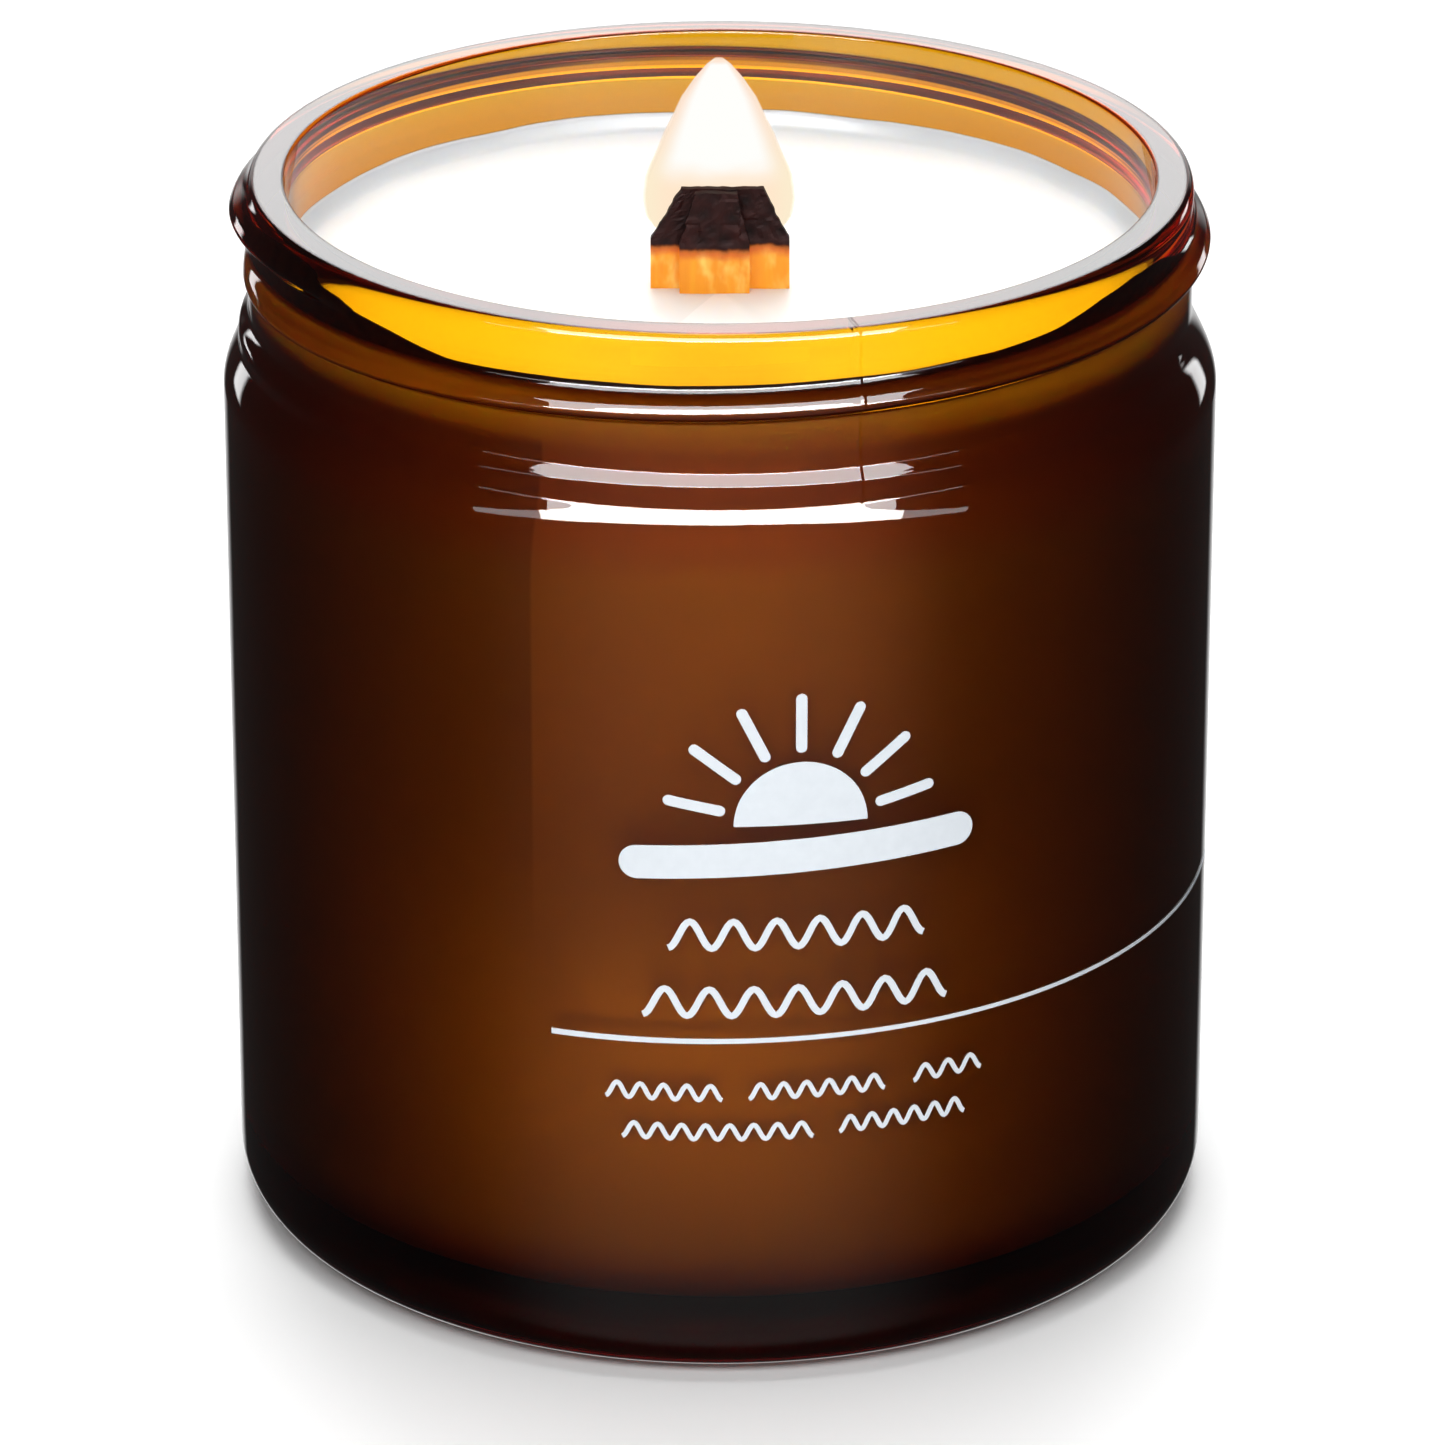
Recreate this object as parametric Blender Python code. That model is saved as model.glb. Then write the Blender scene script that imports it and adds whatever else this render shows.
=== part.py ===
"""A candle in a screw-neck amber glass jar, with a laminated wooden wick held by a clip on the jar's floor.

The jar stands on z = 0 with its axis on the Z axis, and the broad side of the wick faces -Y. Every length below is
in millimetres, and only new_object turns them into metres. Pieces that touch in the real candle are GAP apart.
"""

import math

import bmesh
import bpy
import numpy as np

MM = 0.001
GAP = 0.3
SEGMENTS = 96

# Glass: outside
BODY_RADIUS = 45.5
HEIGHT = 100.4
BEARING_INNER_RADIUS = 38.4
BEARING_OUTER_RADIUS = 40.4
PUSH_UP = 2.6
HEEL_HEIGHT = 5.2
SHOULDER_FOOT = 80.8
NECK_RADIUS = 43.1
LAND_OUTER_RADIUS = 42.2
LAND_INNER_RADIUS = 40.0
LIP_EDGE_HEIGHT = 1.4

# Glass: inside
BORE_RADIUS = 39.6
BORE_DEPTH = 12.6
INNER_RADIUS = 42.7
INNER_SHOULDER_FOOT = 76.0
FLOOR_HEIGHT = 6.0
INNER_CORNER = 7.5

# Continuous thread, right-handed, one turn
RIDGE_ROUNDING = 0.2
THREAD_PITCH = 5.08
THREAD_CREST_AT_X = 94.7
THREAD_SECTION = ((-1.1, 0.0), (-0.35, 1.45), (0.1, 1.62), (0.95, 1.2), (1.85, 0.25), (2.4, 0.0))
THREAD_TURNS = (-0.54, -0.38, 0.50, 0.64)
THREAD_ZONE = (90.0, HEIGHT - LIP_EDGE_HEIGHT)

# Transfer bead below the thread: a low ring that dies away towards +X
BEAD_CREST = 86.6
BEAD_SECTION = ((-1.7, 0.0), (-0.5, 0.55), (0.1, 0.6), (1.15, 0.1), (1.6, 0.0))
BEAD_TURNS = (0.22, 0.40, 0.84, 1.00)

# Wax
WAX_EDGE_HEIGHT = 91.0
WAX_CENTRE_HEIGHT = 88.8

# Wick, clip and pad
STRIP_THICKNESS = 1.0
STRIP_HALF_WIDTH = 6.35
BOOSTER_SPAN = (-3.7, 2.7)
STRIP_TOP = 98.4
PAD_RADIUS = 10.0
PAD_THICKNESS = 0.8
CLIP_RADIUS = 9.5
CLIP_THICKNESS = 0.4
TAB_HALF_WIDTH = 4.6
TAB_HEIGHT = 5.0
TAB_LEDGE = 0.3

PAD_FOOT = FLOOR_HEIGHT + GAP
CLIP_FOOT = PAD_FOOT + PAD_THICKNESS + GAP
CLIP_TOP = CLIP_FOOT + CLIP_THICKNESS
STRIP_FOOT = CLIP_TOP + GAP
TAB_INNER_Y = GAP / 2 + STRIP_THICKNESS + GAP
TAB_OUTER_Y = TAB_INNER_Y + CLIP_THICKNESS
TAB_TOP = CLIP_TOP + TAB_HEIGHT


def clear_scene():
    for obj in list(bpy.data.objects):
        bpy.data.objects.remove(obj, do_unlink=True)


def new_material(name, color, metallic=0.0, roughness=0.5, transmission=0.0):
    material = bpy.data.materials.new(name)
    material.use_nodes = True
    shader = material.node_tree.nodes["Principled BSDF"]
    shader.inputs["Base Color"].default_value = (*color, 1.0)
    shader.inputs["Metallic"].default_value = metallic
    shader.inputs["Roughness"].default_value = roughness
    shader.inputs["Transmission Weight"].default_value = transmission
    return material


def new_object(name, shape, material=None):
    """Links a bmesh drawn in millimetres as a mesh object in metres, with its faces turned outwards."""
    bmesh.ops.recalc_face_normals(shape, faces=shape.faces)
    bmesh.ops.scale(shape, vec=(MM, MM, MM), verts=shape.verts)
    mesh = bpy.data.meshes.new(name)
    shape.to_mesh(mesh)
    shape.free()
    obj = bpy.data.objects.new(name, mesh)
    bpy.context.scene.collection.objects.link(obj)
    if material:
        mesh.materials.append(material)
    return obj


def arc(centre, radii, start, end, steps):
    """Points on an elliptical arc, from the start angle to the end angle in degrees, both ends included."""
    angles = np.radians(np.linspace(start, end, steps + 1))
    return [(centre[0] + radii[0] * math.cos(a), centre[1] + radii[1] * math.sin(a)) for a in angles]


def ease(value):
    """0 below 0, 1 above 1, and a smooth rise between."""
    t = min(max(value, 0.0), 1.0)
    return t * t * (3 - 2 * t)


def fade(turn, limits):
    """1 in the middle of the four limits, 0 outside them, with a smooth rise and fall at the ends."""
    rise_start, rise_end, fall_start, fall_end = limits
    rise = ease((turn - rise_start) / (rise_end - rise_start))
    fall = ease((fall_end - turn) / (fall_end - fall_start))
    return min(rise, fall)


def ridge_height(section, offset):
    """The height of a ridge at an offset from its crest, from corner points (offset, height), slightly rounded."""
    offsets, heights = zip(*section)
    window = (offset - RIDGE_ROUNDING, offset, offset + RIDGE_ROUNDING)
    return sum(np.interp(window, offsets, heights)) / len(window)


def thread_ridge(turn, z):
    """How far the thread stands out from the neck, at an angle in turns from +X and a height."""
    best = 0.0
    for lap in (turn - 1, turn):
        crest = THREAD_CREST_AT_X + THREAD_PITCH * lap
        best = max(best, ridge_height(THREAD_SECTION, z - crest) * fade(lap, THREAD_TURNS))
    return best


def bead_ridge(turn, z):
    return ridge_height(BEAD_SECTION, z - BEAD_CREST) * fade(turn, BEAD_TURNS)


def shoulder_radius(z):
    """The outside of the shoulder: a rounded turn at its foot, then a steep cone that flows into the neck."""
    t = (z - SHOULDER_FOOT) / (THREAD_ZONE[0] - 2 - SHOULDER_FOOT)
    return NECK_RADIUS + (BODY_RADIUS - NECK_RADIUS) * (1 - ease(t))


def outer_profile():
    """(radius, height) from the middle of the underside out to the lip."""
    underside = [(0.0, PUSH_UP), (24.0, PUSH_UP), (34.0, 0.8 * PUSH_UP), (37.2, 0.35 * PUSH_UP)]
    bearing = [(BEARING_INNER_RADIUS, 0.0)]
    heel_width = BODY_RADIUS - BEARING_OUTER_RADIUS
    heel = arc((BEARING_OUTER_RADIUS, HEEL_HEIGHT), (heel_width, HEEL_HEIGHT), -90, 0, 6)
    wall = [(BODY_RADIUS, z) for z in (30.0, 56.0)]
    shoulder = [(shoulder_radius(z), z) for z in np.linspace(SHOULDER_FOOT, THREAD_ZONE[0] - 1.2, 13)]
    neck = [(NECK_RADIUS, z) for z in np.linspace(*THREAD_ZONE, 21)]
    lip_width = NECK_RADIUS - LAND_OUTER_RADIUS
    lip_centre = (LAND_OUTER_RADIUS, HEIGHT - LIP_EDGE_HEIGHT)
    lip = arc(lip_centre, (lip_width, LIP_EDGE_HEIGHT), 0, 90, 5)[1:]
    return underside + bearing + heel + wall + shoulder + neck + lip


def inner_profile(clearance=0.0):
    """(radius, height) from the bore's top down to the middle of the floor, moved inwards by a clearance."""
    bore = BORE_RADIUS - clearance
    wall = INNER_RADIUS - clearance
    floor = FLOOR_HEIGHT + clearance
    bore_foot = HEIGHT - BORE_DEPTH
    steps = 6
    shoulder = []
    for step in range(steps + 1):
        share = step / steps
        z = bore_foot + (INNER_SHOULDER_FOOT - bore_foot) * share
        shoulder.append((bore + (wall - bore) * ease(share), z))
    corner_centre = (INNER_RADIUS - INNER_CORNER, FLOOR_HEIGHT + INNER_CORNER)
    corner_radii = (INNER_CORNER - clearance, INNER_CORNER - clearance)
    corner = arc(corner_centre, corner_radii, 0, -90, 6)
    return shoulder + corner + [(20.0, floor), (0.0, floor)]


def revolve(profile, relief=None):
    """A closed body of revolution from a profile whose first and last points are on the axis."""
    shape = bmesh.new()
    rings = []
    for radius, z in profile[1:-1]:
        ring = []
        for step in range(SEGMENTS):
            turn = step / SEGMENTS
            reach = radius + (relief(turn, radius, z) if relief else 0.0)
            angle = 2 * math.pi * turn
            ring.append(shape.verts.new((reach * math.cos(angle), reach * math.sin(angle), z)))
        rings.append(ring)
    for lower, upper in zip(rings, rings[1:]):
        for step in range(SEGMENTS):
            after = (step + 1) % SEGMENTS
            shape.faces.new((lower[step], lower[after], upper[after], upper[step]))
    for ring, end in ((rings[0], profile[0]), (rings[-1], profile[-1])):
        centre = shape.verts.new((0.0, 0.0, end[1]))
        for step in range(SEGMENTS):
            shape.faces.new((ring[step], ring[(step + 1) % SEGMENTS], centre))
    return shape


def neck_relief(turn, radius, z):
    """The thread and the bead, on the outside of the neck only."""
    if radius < LAND_OUTER_RADIUS or z < SHOULDER_FOOT:
        return 0.0
    lip_fade = ease((HEIGHT - z) / LIP_EDGE_HEIGHT)
    return thread_ridge(turn, z) * lip_fade + bead_ridge(turn, z)


def build_jar():
    inner_lip_width = LAND_INNER_RADIUS - BORE_RADIUS
    lip_centre = (LAND_INNER_RADIUS, HEIGHT - inner_lip_width)
    inner_lip = arc(lip_centre, (inner_lip_width, inner_lip_width), 90, 180, 3)
    profile = outer_profile() + inner_lip + inner_profile()
    amber = new_material("amber_glass", (0.42, 0.15, 0.02), roughness=0.03, transmission=1.0)
    return new_object("glass_jar", revolve(profile, neck_relief), amber)


def box(name, low, high):
    """An axis-aligned box between two corners, kept out of the render for use in a Boolean."""
    shape = bmesh.new()
    bmesh.ops.create_cube(shape, size=1.0)
    low, high = np.array(low), np.array(high)
    for vert in shape.verts:
        vert.co = (low + high) / 2 + np.array(vert.co) * (high - low)
    return hidden(new_object(name, shape))


def disc(name, radius, foot, top, material=None):
    shape = bmesh.new()
    bmesh.ops.create_cone(shape, cap_ends=True, segments=48, radius1=radius, radius2=radius, depth=top - foot)
    bmesh.ops.translate(shape, vec=(0, 0, (foot + top) / 2), verts=shape.verts)
    return new_object(name, shape, material)


def hidden(obj):
    obj.hide_render = True
    return obj


def boolean(obj, other, operation):
    modifier = obj.modifiers.new(other.name, "BOOLEAN")
    modifier.operation = operation
    modifier.solver = "EXACT"
    modifier.object = other


def build_wax():
    """The casting fills the jar up to a dished top, less the room that the wick, the clip and the pad take."""
    edge_radius = BORE_RADIUS - GAP
    dish = []
    for share in (0.0, 0.25, 0.5, 0.72, 0.87, 0.95, 1.0):
        z = WAX_CENTRE_HEIGHT + (WAX_EDGE_HEIGHT - WAX_CENTRE_HEIGHT) * share**3
        dish.append((edge_radius * share, z))
    cream = new_material("wax", (0.93, 0.92, 0.88), roughness=0.4)
    wax = new_object("wax_fill", revolve(dish + inner_profile(GAP)), cream)
    below, above = FLOOR_HEIGHT - 1, HEIGHT
    inside = CLIP_FOOT
    room = GAP / 2 + STRIP_THICKNESS + GAP
    left, right = BOOSTER_SPAN
    side = STRIP_HALF_WIDTH + GAP
    tab_side, tab_room = TAB_HALF_WIDTH + GAP, TAB_OUTER_Y + GAP
    cutters = (
        hidden(disc("pad_room", PAD_RADIUS + GAP, below, CLIP_TOP + GAP)),
        box("tab_room", (-tab_side, -tab_room, inside), (tab_side, tab_room, TAB_TOP + GAP)),
        box("strip_room", (-side, -GAP / 2, inside), (side, room, above)),
        box("booster_room", (left - GAP, -room, inside), (right + GAP, GAP / 2, above)),
    )
    for cutter in cutters:
        boolean(wax, cutter, "DIFFERENCE")
    return wax


def slab(name, outline, front, back, material):
    """A flat strip: an outline in X and Z, front and back in Y."""
    shape = bmesh.new()
    near = [shape.verts.new((x, front, z)) for x, z in outline]
    far = [shape.verts.new((x, back, z)) for x, z in outline]
    shape.faces.new(near)
    shape.faces.new(reversed(far))
    for index in range(len(outline)):
        after = (index + 1) % len(outline)
        shape.faces.new((near[index], far[index], far[after], near[after]))
    return new_object(name, shape, material)


def burnt_outline(left, right, drops):
    """A strip from its foot to a burnt top. Each drop is (share of the width, depth below the highest point)."""
    width = right - left
    crown = [(left + width * share, STRIP_TOP - depth) for share, depth in drops]
    return [(left, STRIP_FOOT), (right, STRIP_FOOT)] + crown


def build_wick():
    wood = new_material("wick_wood", (0.62, 0.42, 0.22), roughness=0.7)
    wide_drops = (
        (1.00, 4.6), (0.95, 3.2), (0.89, 1.5), (0.83, 0.4), (0.72, 0.1), (0.60, 0.2),
        (0.46, 0.0), (0.34, 0.2), (0.24, 0.1), (0.17, 1.1), (0.09, 2.9), (0.03, 4.2), (0.00, 4.9),
    )
    booster_drops = (
        (1.00, 1.3), (0.93, 0.5), (0.75, 0.3), (0.55, 0.1), (0.38, 0.3), (0.18, 0.2), (0.06, 0.6), (0.00, 1.5),
    )
    near, far = GAP / 2, GAP / 2 + STRIP_THICKNESS
    wide = burnt_outline(-STRIP_HALF_WIDTH, STRIP_HALF_WIDTH, wide_drops)
    slab("wick_strip", wide, near, far, wood)
    slab("wick_booster", burnt_outline(*BOOSTER_SPAN, booster_drops), -far, -near, wood)


def build_clip():
    """One piece of tinplate: two tabs bent up out of a disc, each leaving its own window."""
    tinplate = new_material("tinplate", (0.62, 0.62, 0.60), metallic=1.0, roughness=0.35)
    clip = disc("wick_clip", CLIP_RADIUS, CLIP_FOOT, CLIP_TOP, tinplate)
    for side, name in ((-1, "front"), (1, "back")):
        inner, outer = sorted((side * TAB_INNER_Y, side * TAB_OUTER_Y))
        tab_foot = CLIP_FOOT + CLIP_THICKNESS / 4
        tab = box(name + "_tab", (-TAB_HALF_WIDTH, inner, tab_foot), (TAB_HALF_WIDTH, outer, TAB_TOP))
        boolean(clip, tab, "UNION")
        near, far = sorted((side * (TAB_OUTER_Y + TAB_LEDGE), side * (TAB_OUTER_Y + TAB_LEDGE + TAB_HEIGHT)))
        window_low = (-TAB_HALF_WIDTH, near, CLIP_FOOT - 1)
        window_high = (TAB_HALF_WIDTH, far, CLIP_TOP + 1)
        boolean(clip, box(name + "_window", window_low, window_high), "DIFFERENCE")


def build_pad():
    foam = new_material("pad_foam", (0.85, 0.85, 0.82), roughness=0.9)
    disc("clip_sticker", PAD_RADIUS, PAD_FOOT, PAD_FOOT + PAD_THICKNESS, foam)


clear_scene()
build_jar()
build_wax()
build_wick()
build_clip()
build_pad()
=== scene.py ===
"""The looks of a lit wooden-wick candle in an amber glass jar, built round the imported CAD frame."""

import math

import bmesh
import bpy
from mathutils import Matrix, Vector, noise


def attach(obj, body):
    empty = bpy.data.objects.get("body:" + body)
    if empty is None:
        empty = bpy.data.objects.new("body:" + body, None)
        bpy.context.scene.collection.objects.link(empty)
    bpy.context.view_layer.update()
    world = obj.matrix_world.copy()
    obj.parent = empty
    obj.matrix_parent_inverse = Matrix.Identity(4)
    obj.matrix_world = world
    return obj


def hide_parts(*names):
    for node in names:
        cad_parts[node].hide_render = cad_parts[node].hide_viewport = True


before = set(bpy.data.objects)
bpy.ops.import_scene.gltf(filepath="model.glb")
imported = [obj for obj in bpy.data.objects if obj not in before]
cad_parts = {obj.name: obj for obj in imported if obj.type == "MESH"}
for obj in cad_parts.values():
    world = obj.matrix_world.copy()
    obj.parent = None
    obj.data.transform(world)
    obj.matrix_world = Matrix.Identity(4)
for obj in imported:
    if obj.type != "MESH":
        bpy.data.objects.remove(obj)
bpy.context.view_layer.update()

MM = 0.001

# The jar's driving dimensions, in millimetres, as in the CAD, except that its ridges are a little crisper. A
# ridge's section is (offset from the crest, height) points. Its turns from +X are where it starts to rise, is
# whole, starts to fade and ends.
BODY_RADIUS = 45.5
HEIGHT = 100.4
BEARING_RADII = (38.4, 40.4)
PUSH_UP = 2.6
HEEL_HEIGHT = 5.2
SHOULDER_FOOT = 80.8
NECK_FOOT = 88.0
NECK_RADIUS = 43.1
LAND_RADII = (40.0, 42.2)
LIP_EDGE = 1.4
BORE_RADIUS = 39.6
BORE_FOOT = 87.8
INNER_RADIUS = 42.7
INNER_SHOULDER_FOOT = 76.0
FLOOR_HEIGHT = 6.0
INNER_CORNER = 7.5
RIDGE_ROUNDING = 0.15
THREAD_PITCH = 5.08
THREAD_CREST_AT_X = 94.7
THREAD_SECTION = ((-1.1, 0.0), (-0.35, 1.45), (0.1, 1.62), (0.95, 1.2), (1.85, 0.25), (2.4, 0.0))
THREAD_TURNS = (-0.54, -0.38, 0.50, 0.64)
BEAD_CREST = 86.6
BEAD_SECTION = ((-1.7, 0.0), (-0.5, 0.55), (0.1, 0.6), (1.15, 0.1), (1.6, 0.0))
BEAD_TURNS = (0.22, 0.40, 0.84, 1.00)
JAR_SEGMENTS = 288
SEAM_TURN = 0.7953
SEAM_HALF_ANGLE = 0.007
SEAM_FOOT = (84.0, 86.0)
# Heights in millimetres over which the glass turns paler towards the lip: painted light that brightens the
# wax seen through the neck.
LIP_BRIGHTENING = (92.5, 97.0)

# Wax: the dished top, and the film that it leaves on the glass. FILM_RISE is (degrees off the front, rise).
# The last two of the constants below give the angles, in radians from +X, and the heights of a band on the
# front where the wax side keeps its plain colour; round it the side is painted darker, painted shade standing
# in for light that falls only on the front.
WAX_EDGE = 91.0
WAX_CENTRE = 88.8
WAX_CLIMB = 1.4
WAX_BITE = 0.04
WAX_SEGMENTS = 192
FILM_START = 0.965
FILM_RISE = (
    (0, 2.2), (36, 2.4), (46, 3.4), (55, 4.6), (62, 5.0), (70, 4.8), (78, 3.4), (90, 0.6), (110, 0.0),
)
# Heights in millimetres over which the high film turns dark brown: painted shade for the unlit film seen
# through the neck.
FILM_SHADE_HEIGHTS = (92.7, 93.6)
# Angles and heights of the front band where the wax side is not painted the darker shade.
FRONT_BAND_ANGLES = ((-1.965, -1.955), (-1.30, -1.05))
FRONT_BAND_FOOT = (38.0, 62.0)

# Wick strips
STRIP_HALF_WIDTH = 6.35
BOOSTER_SPAN = (-3.7, 2.7)
STRIP_NEAR, STRIP_FAR = 0.15, 1.15
STRIP_FOOT = 8.1
STRIP_COLUMNS = 28
WICK_TOP = 98.4
CHAR_FOOT = 93.1
BURN_START = CHAR_FOOT + 0.5
BURN_CUT = 0.22
CHAR_ROUGHNESS = 0.22
CHAR_PIT = 0.16

# Flame: (height, half width) points, how deep it is for its width, and how it leans over the wick
FLAME_OUTLINE = (
    (93.6, 6.0), (94.6, 6.8), (96.1, 7.04), (98.0, 6.84), (99.85, 6.35), (101.7, 5.83),
    (103.55, 5.16), (105.4, 4.28), (107.25, 3.43), (109.1, 2.2), (110.4, 1.1), (111.0, 0.35),
)
FLAME_FLATNESS = 0.42
FLAME_GAP = 0.25
FLAME_LEAN_FOOT, FLAME_LEAN_HEIGHT = 97.9, 5.0
FLAME_TOP_Y = 0.3
FLAME_SHIFT = -0.1
FLAME_SIDES = 64

# Print on the body: arc lengths from the front line and heights
PRINT_MIDDLE = 7.2
PRINT_LIFT = 0.03
PRINT_TOP = 0.08
HORIZON_HALF_LENGTH, HORIZON_HALF_WIDTH = 14.6, 1.6
HORIZON_HEIGHTS = (51.6, 52.8)
SUN_FOOT, SUN_RADIUS = 55.2, 6.0
RAY_COUNT, RAY_HALF_WIDTH = 7, 0.5
RAY_REACH = (7.4, 12.0)
RAY_START, RAY_STEP = 12, 26
RULE_START, RULE_LENGTH, RULE_HEIGHT, RULE_RISE = -15.3, 82.0, 34.2, 0.6
RULE_HALF_WIDTH, RULE_THINNING = 0.27, 0.14
WAVE_LENGTH = 1.5  # for a height of 1
# Each wavy line: left, right, foot, height and half the line's width
WAVY_LINES = (
    (-4.6, 18.6, 43.4, 2.6, 0.32),
    (-6.9, 20.9, 36.8, 2.6, 0.32),
    (-10.3, 0.2, 28.5, 1.4, 0.22),
    (2.6, 15.0, 28.6, 1.4, 0.22),
    (17.8, 24.6, 28.8, 1.4, 0.22),
    (-8.8, 8.4, 24.6, 1.4, 0.22),
    (10.8, 22.9, 24.8, 1.4, 0.22),
)

# Stage, in metres, apart from the shade dish's (radius, height) points in millimetres
FLOOR_HALF_SIZE = 3.0
SHADE_DISH_PROFILE = ((60.0, -0.3), (95.0, 12.0))
SHADE_DISH_SIDES = 64
CAMERA_PLACE = (0.00023, -0.73432, 0.36055)
CAMERA_DIP = 23.209
CAMERA_LENS = 213.05
REFLECTED_SPOT = (0.01, -0.044, 0.09)
TABLE_GLOW, LOW_SKY_GLOW, HIGH_SKY_GLOW, CARD_GLOW = 0.7, 0.71, 2.2, 3.2
FRONT_GLOW, BASE_GLOW = 0.22, 0.025


def ease(value):
    t = min(max(value, 0.0), 1.0)
    return t * t * (3 - 2 * t)


def fade(turn, limits):
    """1 in the middle of the four limits, 0 outside them, with a smooth rise and fall at the ends."""
    rise_start, rise_end, fall_start, fall_end = limits
    rise = ease((turn - rise_start) / (rise_end - rise_start))
    fall = ease((fall_end - turn) / (fall_end - fall_start))
    return min(rise, fall)


def along(points, place):
    """The height of a broken line through (place, height) points, level beyond its ends."""
    if place <= points[0][0]:
        return points[0][1]
    for (start, low), (end, high) in zip(points, points[1:]):
        if place <= end:
            return low + (high - low) * (place - start) / (end - start)
    return points[-1][1]


def ridge_height(section, offset):
    """The height of a ridge at an offset from its crest, with the section's corners rounded."""
    shifts = (-1.0, -0.5, 0.0, 0.5, 1.0)
    return sum(along(section, offset + shift * RIDGE_ROUNDING) for shift in shifts) / len(shifts)


def arc(centre, radii, start, end, steps):
    """Points on an elliptical arc between two angles in degrees."""
    angles = [math.radians(start + (end - start) * step / steps) for step in range(steps + 1)]
    return [(centre[0] + radii[0] * math.cos(a), centre[1] + radii[1] * math.sin(a)) for a in angles]


def between(start, end, steps):
    return [start + (end - start) * step / steps for step in range(steps + 1)]


def link(name, shape, smooth=True):
    """Links a bmesh drawn in millimetres as a mesh object in metres."""
    bmesh.ops.recalc_face_normals(shape, faces=shape.faces)
    bmesh.ops.scale(shape, vec=(MM, MM, MM), verts=shape.verts)
    mesh = bpy.data.meshes.new(name)
    shape.to_mesh(mesh)
    shape.free()
    for face in mesh.polygons:
        face.use_smooth = smooth
    obj = bpy.data.objects.new(name, mesh)
    bpy.context.scene.collection.objects.link(obj)
    return obj


def finish_piece(obj, material, nodes=()):
    """Gives a piece its material, puts it on the jar's body and hides the CAD nodes it stands in for."""
    obj.data.materials.append(material)
    if nodes:
        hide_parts(*nodes)
    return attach(obj, "root")


def revolve(profile, segments, relief=None):
    """A closed body of revolution from a profile whose first and last points are on the axis."""
    shape = bmesh.new()
    rings = []
    for radius, z in profile[1:-1]:
        ring = []
        for step in range(segments):
            turn = step / segments
            reach, height = relief(turn, radius, z) if relief else (radius, z)
            angle = 2 * math.pi * turn
            ring.append(shape.verts.new((reach * math.cos(angle), reach * math.sin(angle), height)))
        rings.append(ring)
    for lower, upper in zip(rings, rings[1:]):
        for step in range(segments):
            after = (step + 1) % segments
            shape.faces.new((lower[step], lower[after], upper[after], upper[step]))
    for ring, end in ((rings[0], profile[0]), (rings[-1], profile[-1])):
        centre = shape.verts.new((0.0, 0.0, end[1]))
        for step in range(segments):
            shape.faces.new((ring[step], ring[(step + 1) % segments], centre))
    return shape


# Materials -----------------------------------------------------------------------------------------


class Graph:
    """A short way to write the nodes of a material, a lamp or the world."""

    def __init__(self, owner):
        owner.use_nodes = True
        self.owner = owner
        self.tree = owner.node_tree
        self.shader = self.tree.nodes.get("Principled BSDF")
        self.output = self.tree.nodes.get("Material Output")

    def set(self, node, inputs):
        for key, value in inputs.items():
            if isinstance(value, bpy.types.NodeSocket):
                self.tree.links.new(value, node.inputs[key])
            else:
                node.inputs[key].default_value = value

    def node(self, kind, inputs=None, **settings):
        node = self.tree.nodes.new(kind)
        for key, value in settings.items():
            setattr(node, key, value)
        self.set(node, inputs or {})
        return node

    def position(self):
        return self.node("ShaderNodeTexCoord").outputs["Object"]

    def axis(self, name):
        return self.node("ShaderNodeSeparateXYZ", {0: self.position()}).outputs[name]

    def math(self, operation, first, second=0.0):
        return self.node("ShaderNodeMath", {0: first, 1: second}, operation=operation).outputs[0]

    def product(self, *factors):
        total = factors[0]
        for factor in factors[1:]:
            total = self.math("MULTIPLY", total, factor)
        return total

    def span(self, value, low, high, to_low=0.0, to_high=1.0):
        """A smooth change from one value to another while the input goes from low to high."""
        inputs = {"Value": value, "From Min": low, "From Max": high, "To Min": to_low, "To Max": to_high}
        return self.node("ShaderNodeMapRange", inputs, interpolation_type="SMOOTHSTEP").outputs["Result"]

    def rise(self, low, high):
        """0 below one height and 1 above another, both in millimetres."""
        return self.span(self.axis("Z"), low * MM, high * MM)

    def noise(self, scale, detail=4.0, stretch=(1.0, 1.0, 1.0)):
        place = self.node("ShaderNodeMapping", {"Vector": self.position(), "Scale": stretch}).outputs[0]
        inputs = {"Vector": place, "Scale": scale, "Detail": detail}
        return self.node("ShaderNodeTexNoise", inputs).outputs["Fac"]

    def cells(self, scale):
        inputs = {"Vector": self.position(), "Scale": scale}
        return self.node("ShaderNodeTexVoronoi", inputs).outputs["Distance"]

    def mix(self, factor, first, second):
        node = self.node("ShaderNodeMix", data_type="RGBA")
        self.set(node, {"Factor": factor, 6: first, 7: second})
        return node.outputs[2]

    def bump(self, height, strength, distance):
        inputs = {"Height": height, "Strength": strength, "Distance": distance}
        return self.node("ShaderNodeBump", inputs).outputs[0]


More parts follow.
